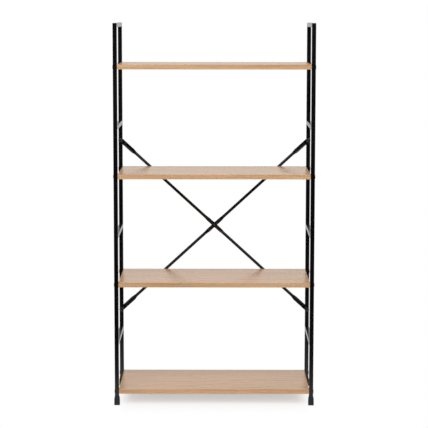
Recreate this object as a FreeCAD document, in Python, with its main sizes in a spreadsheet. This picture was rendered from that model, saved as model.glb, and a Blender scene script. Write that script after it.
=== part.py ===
"""Pipe shelving unit: two welded ladder frames, four boards and a crossed brace.

Millimetres. X runs across the width, the front faces -Y, and +Z is up. The origin
is on the floor, in the middle of the unit's overall box.
"""
import FreeCAD, Part

import math
import os

import Sketcher
from FreeCAD import Placement, Rotation, Vector

# ---------------------------------------------------------------- driving sizes

DRIVING_SIZES = (
    # overall
    ("frame_width", 770, "across the outer faces of the uprights"),
    ("frame_depth", 350, "front face to rear face of the uprights"),
    ("lowest_shelf_top", 63, "floor to the top of the bottom shelf"),
    ("shelf_pitch", 418.5, "shelf top to shelf top"),
    ("head_room", 156.5, "top of the top shelf to the top of the frame"),
    # square tube of the side frames
    ("tube_side", 16, "outside of the square tube"),
    ("tube_wall", 1.2, "wall of the square tube"),
    ("tube_corner", 1.6, "outside corner radius of the square tube"),
    ("rung_rise", 177.5, "shelf top to the centre of the rung above it"),
    # boards
    ("board_thickness", 18, "shelf board"),
    ("band_thickness", 1, "edge band on the four edges of a board"),
    ("band_round", 0.8, "rounding along the front and rear edges"),
    # boot feet
    ("foot_height", 35.5, "whole boot"),
    ("foot_shoulder", 25, "floor to where the boot starts to narrow"),
    ("foot_collar", 2.5, "straight collar above the narrowing part"),
    ("foot_sole", 5, "sole under the tube end"),
    ("foot_base_wall", 2.8, "boot outside the tube at the floor"),
    ("foot_shoulder_wall", 2.5, "boot outside the tube at the shoulder"),
    ("foot_collar_wall", 0.8, "boot outside the tube at the collar"),
    ("foot_corner", 3.3, "radius of the boot's upright corners at the floor"),
    ("foot_clearance", 0.1, "between the boot and the tube"),
    # bolts through the uprights into the boards
    ("shelf_bolt_diameter", 6, "shank"),
    ("shelf_bolt_head_diameter", 15, "flat head"),
    ("shelf_bolt_head_thickness", 1.3, "flat head"),
    ("insert_diameter", 9.5, "threaded insert in the board end"),
    ("insert_length", 14, "threaded insert in the board end"),
    ("insert_clearance", 0.05, "between the insert and its hole"),
    ("bolt_clearance", 0.15, "between a shank and what it passes through"),
    ("bolt_tip", 3, "shank beyond the insert, and free hole beyond that"),
    ("socket_flats", 4, "hexagon socket of the bolts, across the flats"),
    ("socket_depth", 2.6, "hexagon socket of the bolts"),
    # brace rods
    ("rod_diameter", 12, "round part of a brace rod"),
    ("paddle_width", 17.6, "flattened end of a rod"),
    ("paddle_thickness", 2.2, "flattened end of a rod"),
    ("paddle_dish", 2, "hollow pressed along the flattened end"),
    ("paddle_flat", 20, "bolt centre to where the hollow starts"),
    ("paddle_length", 64, "bolt centre to where the rod starts to round off"),
    ("paddle_end", 8.8, "bolt centre to the rounded tip of the rod"),
    ("rod_taper", 20, "length over which a flat goes round"),
    ("dish_run", 5, "length over which a hollow fades in"),
    ("crossing_width", 15.2, "pressed middle of a rod"),
    ("crossing_thickness", 5.2, "pressed middle of a rod"),
    ("crossing_dish", 1.8, "hollow pressed along the middle"),
    ("crossing_seat", 8, "half length of the flat round the rivet"),
    ("crossing_half", 31, "half length of the pressed middle"),
    ("brace_low_rise", 253, "bottom shelf top to the lower brace bolts"),
    ("brace_high_rise", 106, "third shelf top to the upper brace bolts"),
    # fasteners of the brace
    ("brace_bolt_diameter", 6, "shank"),
    ("brace_bolt_head_diameter", 17.5, "flat head on the front of the upright"),
    ("brace_bolt_head_thickness", 1.5, "flat head on the front of the upright"),
    ("washer_diameter", 12.5, "behind the flattened end"),
    ("washer_thickness", 1.2, "behind the flattened end"),
    ("nut_flats", 10, "lock nut across the flats"),
    ("nut_thickness", 4.6, "hexagon of the lock nut"),
    ("nut_collar", 1.2, "height of the lock nut's round collar"),
    ("nut_collar_diameter", 9, "round collar of the lock nut"),
    ("bolt_end", 0.4, "shank beyond the lock nut"),
    ("rivet_diameter", 5, "rivet where the rods cross"),
    ("rivet_head_diameter", 8.5, "both heads of the rivet"),
    ("rivet_head_thickness", 1.2, "both heads of the rivet"),
)

SHELF_NAMES = ("bottom", "lower", "upper", "top")
RUNG_NAMES = ("lower", "middle", "upper")
SIDES = (("left", -1), ("right", 1))
ENDS = (("front", -1), ("rear", 1))
HALF_TURN = 180
QUARTER_TURN = 90
TO_THE_FRONT = -QUARTER_TURN
TO_THE_REAR = QUARTER_TURN
QUARTERS = range(4)
EVEN_SPACING = -1.0  # a pattern's gap of -1 stands for its own Offset

# round forms of the small repeated pieces are made of flat facets, to keep the model light
HEXAGON_SIDES = 6
BORE_SIDES = 8
HEAD_SIDES = 24
FOOT_CORNER_FACETS = 3
ROD_BOW_FACETS = 6

TINY = 1e-6  # what is shorter than this counts as nothing

# sizes that follow from the driving ones, as expressions of the document
TOP_SHELF = f"(Sizes.lowest_shelf_top + {len(SHELF_NAMES) - 1} * Sizes.shelf_pitch)"
FRAME_HEIGHT = f"({TOP_SHELF} + Sizes.head_room)"
UPRIGHT_X = "((Sizes.frame_width - Sizes.tube_side) / 2)"
UPRIGHT_Y = "((Sizes.frame_depth - Sizes.tube_side) / 2)"
BOARD_SPAN = "(Sizes.frame_width - 2 * Sizes.tube_side)"
CORE_LENGTH = f"({BOARD_SPAN} - 2 * Sizes.band_thickness)"
CORE_DEPTH = "(Sizes.frame_depth - 2 * Sizes.band_thickness)"
BOLT_HOLE = "(Sizes.shelf_bolt_diameter / 2 + Sizes.bolt_clearance)"
BRACE_HOLE = "(Sizes.brace_bolt_diameter / 2 + Sizes.bolt_clearance)"
THROUGH_TUBE = "(2 * Sizes.tube_side)"
BRACE_LOW = "(Sizes.lowest_shelf_top + Sizes.brace_low_rise)"
BRACE_HIGH = (f"(Sizes.lowest_shelf_top + {SHELF_NAMES.index('upper')} * Sizes.shelf_pitch"
              " + Sizes.brace_high_rise)")
FIRST_BOLT = "(Sizes.lowest_shelf_top - Sizes.board_thickness / 2)"

# how far the unit reaches in front of and behind its uprights sets its middle
NUT_STACK = ("(Sizes.paddle_thickness + Sizes.washer_thickness + Sizes.nut_thickness"
             " + Sizes.nut_collar + Sizes.bolt_end)")
RIVET_REACH = "(2 * Sizes.crossing_thickness + Sizes.rivet_head_thickness)"
REAR_REACH = f"max(Sizes.rod_diameter; {NUT_STACK}; {RIVET_REACH}; Sizes.foot_base_wall)"
MIDDLE_Y = f"((Sizes.foot_base_wall - {REAR_REACH}) / 2)"

doc = FreeCAD.newDocument("pipe_shelving_unit")
sheet = doc.addObject("Spreadsheet::Sheet", "Sizes")
for row, (alias, number, meaning) in enumerate(DRIVING_SIZES, start=1):
    sheet.set(f"A{row}", alias)
    sheet.set(f"B{row}", str(number))
    sheet.set(f"C{row}", meaning)
    sheet.setAlias(f"B{row}", alias)
doc.recompute()

parts = []


def value(expression):
    """What an expression of the document comes to."""
    return float(sheet.evalExpression(expression))


# ---------------------------------------------------------------- bodies and sketches


def origin_feature(body, role):
    """A base plane or axis of a body."""
    return next(feature for feature in body.Origin.OriginFeatures if feature.Role == role)


def new_body(label, x="0", y="0", z="0", turn=0):
    """An empty body, placed by expressions from the frame's middle and turned about Z."""
    body = doc.addObject("PartDesign::Body", label)
    body.Label = label
    body.AllowCompound = True
    body.Placement = Placement(Vector(), Rotation(Vector(0, 0, 1), turn))
    body.setExpression("Placement.Base.x", x)
    body.setExpression("Placement.Base.y", f"{y} + {MIDDLE_Y}")
    body.setExpression("Placement.Base.z", z)
    parts.append(body)
    return body


def new_sketch(body, plane, lift="0"):
    """A sketch on a base plane of its body, lifted along the plane's normal."""
    sketch = body.newObject("Sketcher::SketchObject", f"{body.Name}_sketch")
    sketch.AttachmentSupport = [(origin_feature(body, plane), "")]
    sketch.MapMode = "FlatFace"
    sketch.setExpression("AttachmentOffset.Base.z", lift)
    return sketch


def bind(sketch, kind, places, expression):
    """Add a dimension whose value follows an expression."""
    index = sketch.addConstraint(Sketcher.Constraint(kind, *places, value(expression)))
    sketch.setExpression(f"Constraints[{index}]", expression)


def bind_point(sketch, geometry, point, x, y):
    """Hold a point of the sketch at a distance from the sketch's origin."""
    bind(sketch, "DistanceX", (-1, 1, geometry, point), x)
    bind(sketch, "DistanceY", (-1, 1, geometry, point), y)


def add_polygon(sketch, corners):
    """A closed outline of straight lines with each corner held by two expressions."""
    points = [Vector(value(x), value(y), 0) for x, y in corners]
    count = len(points)
    lines = []
    for index, point in enumerate(points):
        following = points[(index + 1) % count]
        lines.append(sketch.addGeometry(Part.LineSegment(point, following)))
    for index, line in enumerate(lines):
        following = lines[(index + 1) % count]
        sketch.addConstraint(Sketcher.Constraint("Coincident", line, 2, following, 1))
        bind_point(sketch, line, 1, *corners[index])


def add_rectangle(sketch, width, height):
    """A rectangle centred on the sketch's origin."""
    right, top = f"{width} / 2", f"{height} / 2"
    left, bottom = f"-{right}", f"-{top}"
    add_polygon(sketch, ((left, bottom), (right, bottom), (right, top), (left, top)))


def add_faceted_square(sketch, side, radius):
    """A centred square whose corners are rows of flat facets that touch a round corner."""
    step = QUARTER_TURN / (FOOT_CORNER_FACETS + 1)
    inner = f"({side} / 2 - {radius})"
    arm = f"({radius} / cos({step / 2}))"
    corners = []
    for quarter in QUARTERS:
        x_sign = 1 if quarter in (0, 3) else -1
        y_sign = 1 if quarter in (0, 1) else -1
        for index in range(FOOT_CORNER_FACETS + 1):
            turn = QUARTER_TURN * quarter + step / 2 + step * index
            corners.append((f"{x_sign} * {inner} + {arm} * cos({turn})",
                            f"{y_sign} * {inner} + {arm} * sin({turn})"))
    add_polygon(sketch, corners)


def add_rounded_square(sketch, side, radius):
    """A centred square with round corners, held by its side and its corner radius."""
    half, corner = value(side) / 2, value(radius)
    inner = half - corner
    lines, arcs = [], []
    for quarter in QUARTERS:
        spin = Rotation(Vector(0, 0, 1), QUARTER_TURN * quarter)
        start, end = spin.multVec(Vector(-inner, -half, 0)), spin.multVec(Vector(inner, -half, 0))
        lines.append(sketch.addGeometry(Part.LineSegment(start, end)))
        circle = Part.Circle(spin.multVec(Vector(inner, -inner, 0)), Vector(0, 0, 1), corner)
        begin = math.radians(QUARTER_TURN * (quarter - 1))
        arc = Part.ArcOfCircle(circle, begin, begin + math.radians(QUARTER_TURN))
        arcs.append(sketch.addGeometry(arc))
    for quarter in QUARTERS:
        line, arc, following = lines[quarter], arcs[quarter], lines[(quarter + 1) % len(lines)]
        sketch.addConstraint(Sketcher.Constraint("Tangent", line, 2, arc, 1))
        sketch.addConstraint(Sketcher.Constraint("Tangent", arc, 2, following, 1))
        along = "Vertical" if quarter % 2 else "Horizontal"
        sketch.addConstraint(Sketcher.Constraint(along, line))
    for arc in arcs[1:]:
        sketch.addConstraint(Sketcher.Constraint("Equal", arcs[0], arc))
    bottom, right, top, left = lines
    sketch.addConstraint(Sketcher.Constraint("Symmetric", bottom, 1, top, 1, -1, 1))
    bind(sketch, "DistanceX", (left, 1, right, 1), side)
    bind(sketch, "DistanceY", (bottom, 1, top, 1), side)
    bind(sketch, "Radius", (arcs[0],), radius)


# ---------------------------------------------------------------- features


def extrude(body, kind, sketch, length, symmetric=False):
    """Pad or pocket a sketch by a length, to one side or to both."""
    feature = body.newObject(f"PartDesign::{kind}", f"{body.Name}_{kind.lower()}")
    feature.Profile = sketch
    feature.SideType = "Symmetric" if symmetric else "One side"
    feature.setExpression("Length", length)
    return feature


def add_prism(body, kind, plane, sides, radius, height, lift="0", across="0", along="0"):
    """A prism that stands on a base plane of its body, with flats towards the plane's axes."""
    prism = body.newObject(f"PartDesign::{kind}Prism", f"{body.Name}_prism")
    prism.AttachmentSupport = [(origin_feature(body, plane), "")]
    prism.MapMode = "FlatFace"
    prism.AttachmentOffset = Placement(Vector(), Rotation(Vector(0, 0, 1), HALF_TURN / sides))
    prism.Polygon = sides
    prism.setExpression("AttachmentOffset.Base.x", across)
    prism.setExpression("AttachmentOffset.Base.y", along)
    prism.setExpression("AttachmentOffset.Base.z", lift)
    prism.setExpression("Circumradius", radius)
    prism.setExpression("Height", height)
    return prism


def add_disc(body, radius, thickness, lift="0"):
    """A disc along the body's X axis."""
    add_prism(body, "Additive", "YZ_Plane", HEAD_SIDES, radius, thickness, lift)


def repeat(body, axis, spacing, count, other_axis=None, other_spacing=None, features=()):
    """Repeat the whole piece, or some features of it, in one row or in two equal ones."""
    doc.recompute()
    pattern = body.newObject("PartDesign::LinearPattern", f"{body.Name}_pattern")
    pattern.TransformMode = "Features" if features else "Whole shape"
    pattern.Originals = list(features)
    pattern.Direction = (origin_feature(body, axis), [""])
    pattern.Mode = "Spacing"
    pattern.setExpression("Offset", spacing)
    pattern.Occurrences = count
    if other_axis:
        pattern.Direction2 = (origin_feature(body, other_axis), [""])
        pattern.Mode2 = "Spacing"
        pattern.setExpression("Offset2", other_spacing)
        pattern.Occurrences2 = 2
        pattern.Spacings2 = [EVEN_SPACING]
    body.Tip = pattern


# ---------------------------------------------------------------- side frames


def add_tube(body, plane, length, symmetric=False):
    """A length of the square tube, standing on a base plane of its body."""
    sketch = new_sketch(body, plane)
    add_rounded_square(sketch, "Sizes.tube_side", "Sizes.tube_corner")
    bore = "(Sizes.tube_side - 2 * Sizes.tube_wall)"
    add_rectangle(sketch, bore, bore)
    extrude(body, "Pad", sketch, length, symmetric)


def cut_mitre(body, *triangles):
    """Cut triangles of the YZ plane away across the whole tube."""
    sketch = new_sketch(body, "YZ_Plane")
    for corners in triangles:
        add_polygon(sketch, corners)
    extrude(body, "Pocket", sketch, "2 * Sizes.tube_side", symmetric=True)


def upright(side_name, side, end_name, end):
    """An upright: mitred top, bolt holes for the boards, and brace holes at the rear."""
    body = new_body(f"{side_name}_{end_name}_upright", f"{side} * {UPRIGHT_X}",
                    f"{end} * {UPRIGHT_Y}", "Sizes.foot_sole")
    length = f"({FRAME_HEIGHT} - Sizes.foot_sole)"
    half = "Sizes.tube_side / 2"
    add_tube(body, "XY_Plane", length)
    cut_mitre(body, ((f"{end} * {half}", length), (f"{-end} * {half}", length),
                     (f"{-end} * {half}", f"{length} - Sizes.tube_side")))
    hole = add_prism(body, "Subtractive", "YZ_Plane", BORE_SIDES, BOLT_HOLE, THROUGH_TUBE,
                     f"-{THROUGH_TUBE} / 2", along=f"{FIRST_BOLT} - Sizes.foot_sole")
    repeat(body, "Z_Axis", "Sizes.shelf_pitch", len(SHELF_NAMES), features=[hole])
    if end_name == "rear":
        hole = add_prism(body, "Subtractive", "XZ_Plane", BORE_SIDES, BRACE_HOLE, THROUGH_TUBE,
                         f"-{THROUGH_TUBE} / 2", along=f"{BRACE_LOW} - Sizes.foot_sole")
        repeat(body, "Z_Axis", f"{BRACE_HIGH} - {BRACE_LOW}", 2, features=[hole])


def top_bar(side_name, side):
    """The bar that closes a side frame, mitred into both uprights."""
    body = new_body(f"{side_name}_top_bar", f"{side} * {UPRIGHT_X}",
                    z=f"{FRAME_HEIGHT} - Sizes.tube_side / 2")
    half_depth, half = "Sizes.frame_depth / 2", "Sizes.tube_side / 2"
    add_tube(body, "XZ_Plane", "Sizes.frame_depth", symmetric=True)
    cut_mitre(body, *(((f"{end} * {half_depth}", f"-{half}"),
                       (f"{end} * ({half_depth} - Sizes.tube_side)", f"-{half}"),
                       (f"{end} * {half_depth}", half)) for _, end in ENDS))


def rung(side_name, side, rung_name, bay):
    """A rung between the two uprights of a side frame."""
    height = f"Sizes.lowest_shelf_top + {bay} * Sizes.shelf_pitch + Sizes.rung_rise"
    body = new_body(f"{side_name}_{rung_name}_rung", f"{side} * {UPRIGHT_X}", z=height)
    add_tube(body, "XZ_Plane", "Sizes.frame_depth - 2 * Sizes.tube_side", symmetric=True)


def add_foot_stage(body, level, next_level, wall):
    """A straight length of a boot, between two levels, with a wall round the tube."""
    sketch = new_sketch(body, "XY_Plane", level)
    add_faceted_square(sketch, f"(Sizes.tube_side + 2 * {wall})",
                       f"(Sizes.foot_corner - Sizes.foot_base_wall + {wall})")
    return sketch, extrude(body, "Pad", sketch, f"{next_level} - {level}")


def lean_inwards(body, sketch, stage, level, angle):
    """Lean the sides of a boot's newest stage inwards from its sketch."""
    doc.recompute()
    bottom = value(level) - TINY
    sides = []
    for index, face in enumerate(stage.Shape.Faces, start=1):
        box = face.BoundBox
        if box.ZMin > bottom and box.ZLength > TINY:
            sides.append(f"Face{index}")
    draft = body.newObject("PartDesign::Draft", f"{body.Name}_draft")
    draft.Base = (stage, sides)
    draft.NeutralPlane = (sketch, [""])
    draft.setExpression("Angle", angle)


def foot(side_name, side, end_name, end):
    """A plastic boot: a slight taper, a narrowing shoulder and a collar round the tube."""
    body = new_body(f"{side_name}_{end_name}_foot", f"{side} * {UPRIGHT_X}",
                    f"{end} * {UPRIGHT_Y}")
    collar_level = "(Sizes.foot_height - Sizes.foot_collar)"
    stages = (("0", "Sizes.foot_base_wall"),
              ("Sizes.foot_shoulder", "Sizes.foot_shoulder_wall"),
              (collar_level, "Sizes.foot_collar_wall"))
    for (level, wall), (next_level, next_wall) in zip(stages, stages[1:]):
        sketch, stage = add_foot_stage(body, level, next_level, wall)
        lean_inwards(body, sketch, stage, level,
                     f"atan(({wall} - {next_wall}) / ({next_level} - {level}))")
    add_foot_stage(body, collar_level, "Sizes.foot_height", "Sizes.foot_collar_wall")
    mouth = new_sketch(body, "XY_Plane", "Sizes.foot_height")
    bore = "(Sizes.tube_side + 2 * Sizes.foot_clearance)"
    add_rectangle(mouth, bore, bore)
    extrude(body, "Pocket", mouth, "Sizes.foot_height - Sizes.foot_sole")


# ---------------------------------------------------------------- boards


def shelf_top(level):
    """Height of the top of a shelf, counted from the bottom one."""
    return f"(Sizes.lowest_shelf_top + {level} * Sizes.shelf_pitch)"


def board(shelf_name, level):
    """The core of a shelf, with the holes for the inserts in its ends."""
    body = new_body(f"{shelf_name}_shelf_board", z=f"{shelf_top(level)} - Sizes.board_thickness")
    sketch = new_sketch(body, "XY_Plane")
    add_rectangle(sketch, CORE_LENGTH, CORE_DEPTH)
    extrude(body, "Pad", sketch, "Sizes.board_thickness")
    depth = "(Sizes.insert_length + 2 * Sizes.bolt_tip)"
    hole = add_prism(body, "Subtractive", "YZ_Plane", BORE_SIDES,
                     "Sizes.insert_diameter / 2 + Sizes.insert_clearance", depth,
                     f"-{CORE_LENGTH} / 2", f"-{UPRIGHT_Y}", "Sizes.board_thickness / 2")
    repeat(body, "X_Axis", f"{CORE_LENGTH} - {depth}", 2, "Y_Axis", f"2 * {UPRIGHT_Y}", [hole])


def long_band(shelf_name, level, end_name, turn):
    """The band along the front or rear edge of a board, rounded along its outside."""
    sign = -1 if end_name == "front" else 1
    body = new_body(f"{shelf_name}_shelf_{end_name}_band", y=f"{sign} * Sizes.frame_depth / 2",
                    z=f"{shelf_top(level)} - Sizes.board_thickness", turn=turn)
    sketch = new_sketch(body, "YZ_Plane")
    add_polygon(sketch, (("0", "0"), ("Sizes.band_thickness", "0"),
                         ("Sizes.band_thickness", "Sizes.board_thickness"),
                         ("0", "Sizes.board_thickness")))
    strip = extrude(body, "Pad", sketch, BOARD_SPAN, symmetric=True)
    doc.recompute()
    half_span, half_band = value(f"{BOARD_SPAN} / 2"), value("Sizes.band_thickness / 2")
    outer = [f"Edge{index}" for index, edge in enumerate(strip.Shape.Edges, start=1)
             if edge.Length > half_span and abs(edge.CenterOfMass.y) < half_band]
    rounding = body.newObject("PartDesign::Fillet", f"{body.Name}_rounding")
    rounding.Base = (strip, outer)
    rounding.setExpression("Radius", "Sizes.band_round")


def end_band(shelf_name, level, side_name, turn):
    """The band on a board's end, with the holes that the bolts pass through."""
    sign = -1 if side_name == "left" else 1
    body = new_body(f"{shelf_name}_shelf_{side_name}_band", f"{sign} * {CORE_LENGTH} / 2",
                    z=f"{shelf_top(level)} - Sizes.board_thickness / 2", turn=turn)
    sketch = new_sketch(body, "YZ_Plane")
    add_rectangle(sketch, CORE_DEPTH, "Sizes.board_thickness")
    extrude(body, "Pad", sketch, "Sizes.band_thickness")
    hole = add_prism(body, "Subtractive", "YZ_Plane", BORE_SIDES, BOLT_HOLE,
                     "Sizes.band_thickness", across=f"-{UPRIGHT_Y}")
    repeat(body, "Y_Axis", f"2 * {UPRIGHT_Y}", 2, features=[hole])


def inserts(shelf_name, level):
    """The four threaded inserts of a board, two in each end."""
    body = new_body(f"{shelf_name}_shelf_inserts",
                    z=f"{shelf_top(level)} - Sizes.board_thickness / 2")
    for kind, radius in (("Additive", "Sizes.insert_diameter / 2"), ("Subtractive", BOLT_HOLE)):
        add_prism(body, kind, "YZ_Plane", BORE_SIDES, radius, "Sizes.insert_length",
                  f"-{CORE_LENGTH} / 2", f"-{UPRIGHT_Y}")
    repeat(body, "X_Axis", f"{CORE_LENGTH} - Sizes.insert_length", 2,
           "Y_Axis", f"2 * {UPRIGHT_Y}")


# ---------------------------------------------------------------- fasteners


def add_bolt(body, diameter, length, head_diameter, head_thickness):
    """A flat-headed bolt along X: the head stands on x = 0 and the shank runs to -X."""
    add_disc(body, f"{head_diameter} / 2", head_thickness)
    add_prism(body, "Additive", "YZ_Plane", BORE_SIDES, f"{diameter} / 2", length,
              f"-({length})")
    add_prism(body, "Subtractive", "YZ_Plane", HEXAGON_SIDES, "Sizes.socket_flats / sqrt(3)",
              "Sizes.socket_depth", f"{head_thickness} - Sizes.socket_depth")


def shelf_bolts(side_name, side, turn):
    """The bolts through both uprights of a side frame, one pair to each board."""
    body = new_body(f"{side_name}_shelf_bolts", f"{side} * Sizes.frame_width / 2",
                    f"{-side} * {UPRIGHT_Y}", FIRST_BOLT, turn)
    length = ("Sizes.tube_side + Sizes.band_thickness + Sizes.insert_length"
              " + Sizes.bolt_tip")
    add_bolt(body, "Sizes.shelf_bolt_diameter", length,
             "Sizes.shelf_bolt_head_diameter", "Sizes.shelf_bolt_head_thickness")
    repeat(body, "Z_Axis", "Sizes.shelf_pitch", len(SHELF_NAMES),
           "Y_Axis", f"2 * {UPRIGHT_Y}")


def repeat_at_brace_ends(body):
    """Repeat a fastener at the four ends of the brace, from a lower one."""
    repeat(body, "Z_Axis", f"{BRACE_HIGH} - {BRACE_LOW}", 2,
           "Y_Axis", f"2 * {UPRIGHT_X}")


def brace_bolts():
    """The bolts from the front face of the rear uprights through the brace ends."""
    body = new_body("brace_end_bolts", f"-{UPRIGHT_X}",
                    "Sizes.frame_depth / 2 - Sizes.tube_side", BRACE_LOW, TO_THE_FRONT)
    add_bolt(body, "Sizes.brace_bolt_diameter", f"Sizes.tube_side + {NUT_STACK}",
             "Sizes.brace_bolt_head_diameter", "Sizes.brace_bolt_head_thickness")
    repeat_at_brace_ends(body)


def brace_washers():
    """The washers behind the flattened ends."""
    body = new_body("brace_end_washers", UPRIGHT_X,
                    "Sizes.frame_depth / 2 + Sizes.paddle_thickness", BRACE_LOW, TO_THE_REAR)
    add_disc(body, "Sizes.washer_diameter / 2", "Sizes.washer_thickness")
    add_prism(body, "Subtractive", "YZ_Plane", BORE_SIDES, BRACE_HOLE,
              "Sizes.washer_thickness")
    repeat_at_brace_ends(body)


def brace_nuts():
    """The lock nuts on the washers: a hexagon with a round collar and a bore."""
    seat = "Sizes.frame_depth / 2 + Sizes.paddle_thickness + Sizes.washer_thickness"
    body = new_body("brace_end_nuts", UPRIGHT_X, seat, BRACE_LOW, TO_THE_REAR)
    add_prism(body, "Additive", "YZ_Plane", HEXAGON_SIDES, "Sizes.nut_flats / sqrt(3)",
              "Sizes.nut_thickness")
    add_disc(body, "Sizes.nut_collar_diameter / 2", "Sizes.nut_collar", "Sizes.nut_thickness")
    add_prism(body, "Subtractive", "YZ_Plane", BORE_SIDES, BRACE_HOLE,
              "Sizes.nut_thickness + Sizes.nut_collar")
    repeat_at_brace_ends(body)


def brace_rivet():
    """The rivet through both rods where they cross."""
    body = new_body("brace_rivet", y="Sizes.frame_depth / 2",
                    z=f"({BRACE_LOW} + {BRACE_HIGH}) / 2", turn=TO_THE_REAR)
    stack, head = "2 * Sizes.crossing_thickness", "Sizes.rivet_head_diameter / 2"
    add_disc(body, head, "Sizes.rivet_head_thickness", "-Sizes.rivet_head_thickness")
    add_prism(body, "Additive", "YZ_Plane", BORE_SIDES, "Sizes.rivet_diameter / 2", stack)
    add_disc(body, head, "Sizes.rivet_head_thickness", stack)


# ---------------------------------------------------------------- brace rods

TAPER_STEPS = 2
DISH_STEPS = 1


def bow_points(start, through, end):
    """Points along an arc or a straight line, without its last one."""
    if through.isEqual((start + end) / 2, TINY):
        bow = Part.LineSegment(start, end)
    else:
        bow = Part.Arc(start, through, end)
    return bow.toShape().discretize(Number=ROD_BOW_FACETS + 1)[:-1]


class Profile:
    """A section of a rod: half width, corner, front and back rims, front and back middles.

    Depths are measured backwards from the plane of the uprights' rear faces.
    """

    def __init__(self, *sizes):
        self.sizes = sizes

    def blend(self, other, share):
        """A section between two others, eased at both ends."""
        ease = share * share * (3 - 2 * share)
        return Profile(*(a + (b - a) * ease for a, b in zip(self.sizes, other.sizes)))

    def wire(self, station):
        """The closed outline at a distance along the rod: front, upper, back and lower bow."""
        half, corner, rim_front, rim_back, front, back = self.sizes
        middle = (rim_front + rim_back) / 2

        def at(depth, across):
            return Vector(station, depth, across)

        points = bow_points(at(rim_front, -corner), at(front, 0), at(rim_front, corner))
        points += bow_points(at(rim_front, corner), at(middle, half), at(rim_back, corner))
        points += bow_points(at(rim_back, corner), at(back, 0), at(rim_back, -corner))
        points += bow_points(at(rim_back, -corner), at(middle, -half), at(rim_front, -corner))
        return Part.makePolygon(points + points[:1])


def pressed_profile(width, thickness, front, dish_front, dish_back):
    """A flattened section with half-round edges and a hollow pressed in from the front."""
    return Profile(width / 2, (width - thickness) / 2, front, front + thickness,
                   front + dish_front, front + thickness + dish_back)


def round_profile(diameter):
    """The round section, touching the plane of the uprights' rear faces."""
    radius = diameter / 2
    corner = radius / math.sqrt(2)
    return Profile(radius, corner, radius - corner, radius + corner, 0, diameter)


def blended_run(start, end, first, second, steps):
    """Stations and sections from one profile to another."""
    return [(start + (end - start) * step / steps, first.blend(second, step / steps))
            for step in range(steps + 1)]


def cutter(radius, sides, reach, station):
    """A prism across the rod, past both of its faces, with a circle of this radius inside."""
    arm = Vector(radius / math.cos(math.pi / sides), 0, 0)
    centre = Vector(station, -reach, 0)
    turn = 2 * HALF_TURN / sides
    corners = [centre + Rotation(Vector(0, 1, 0), turn * side).multVec(arm)
               for side in range(sides)]
    return Part.Face(Part.makePolygon(corners + corners[:1])).extrude(Vector(0, 2 * reach, 0))


def rod_shape(length, crossing_front):
    """A rod along X between two bolt centres, pressed at both ends and in the middle."""
    width, thickness = value("Sizes.paddle_width"), value("Sizes.paddle_thickness")
    dish = value("Sizes.paddle_dish")
    cross_width, cross_thickness = value("Sizes.crossing_width"), value("Sizes.crossing_thickness")
    taper, dish_run = value("Sizes.rod_taper"), value("Sizes.dish_run")
    flat, paddle = value("Sizes.paddle_flat"), value("Sizes.paddle_length")
    tip = value("Sizes.paddle_end")
    middle = length / 2
    pressed = middle - value("Sizes.crossing_half")
    seat = middle - value("Sizes.crossing_seat")

    end_flat = pressed_profile(width, thickness, 0, 0, 0)
    end_dished = pressed_profile(width, thickness, 0, dish, dish)
    round_bar = round_profile(value("Sizes.rod_diameter"))
    middle_dished = pressed_profile(cross_width, cross_thickness, crossing_front,
                                    value("Sizes.crossing_dish"), 0)
    middle_flat = pressed_profile(cross_width, cross_thickness, crossing_front, 0, 0)

    half_run = [(-tip, end_flat)]
    half_run += blended_run(flat, flat + dish_run, end_flat, end_dished, DISH_STEPS)
    half_run += blended_run(paddle, paddle + taper, end_dished, round_bar, TAPER_STEPS)
    half_run += blended_run(pressed - taper, pressed, round_bar, middle_dished, TAPER_STEPS)
    half_run += blended_run(seat - dish_run, seat, middle_dished, middle_flat, DISH_STEPS)
    other_half = [(length - station, profile) for station, profile in reversed(half_run)]
    rod = Part.makeLoft([profile.wire(station) for station, profile in half_run + other_half],
                        True, True)

    reach = value("Sizes.rod_diameter") + cross_thickness
    bolt_hole = value(BRACE_HOLE)
    rivet_hole = value("Sizes.rivet_diameter / 2 + Sizes.bolt_clearance")
    for centre, block_start in ((0, -tip), (length, length)):
        end_block = Part.makeBox(tip, 2 * reach, 2 * width, Vector(block_start, -reach, -width))
        rod = rod.cut(end_block.cut(cutter(tip, HEAD_SIDES, reach, centre)))
        rod = rod.cut(cutter(bolt_hole, BORE_SIDES, reach, centre))
    return rod.cut(cutter(rivet_hole, BORE_SIDES, reach, middle))


def brace_rod(label, start_height, end_height, crossing_front):
    """A rod from the left rear upright to the right one."""
    run, rise = value(f"2 * {UPRIGHT_X}"), end_height - start_height
    rod = doc.addObject("Part::Feature", label)
    rod.Label = label
    rod.Shape = rod_shape(math.hypot(run, rise), crossing_front)
    slope = math.degrees(math.atan2(rise, run))
    start = Vector(-run / 2, value(f"{MIDDLE_Y} + Sizes.frame_depth / 2"), start_height)
    rod.Placement = Placement(start, Rotation(Vector(0, 1, 0), -slope))
    parts.append(rod)


# ---------------------------------------------------------------- the unit

for side_name, side in SIDES:
    side_turn = HALF_TURN if side < 0 else 0
    for end_name, end in ENDS:
        upright(side_name, side, end_name, end)
        foot(side_name, side, end_name, end)
    top_bar(side_name, side)
    for bay, rung_name in enumerate(RUNG_NAMES):
        rung(side_name, side, rung_name, bay)
    shelf_bolts(side_name, side, side_turn)

for level, shelf_name in enumerate(SHELF_NAMES):
    board(shelf_name, level)
    long_band(shelf_name, level, "front", 0)
    long_band(shelf_name, level, "rear", HALF_TURN)
    end_band(shelf_name, level, "left", HALF_TURN)
    end_band(shelf_name, level, "right", 0)
    inserts(shelf_name, level)

brace_rod("rising_brace_rod", value(BRACE_LOW), value(BRACE_HIGH), 0)
brace_rod("falling_brace_rod", value(BRACE_HIGH), value(BRACE_LOW),
          value("Sizes.crossing_thickness"))
brace_bolts()
brace_washers()
brace_nuts()
brace_rivet()

doc.recompute()

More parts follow.
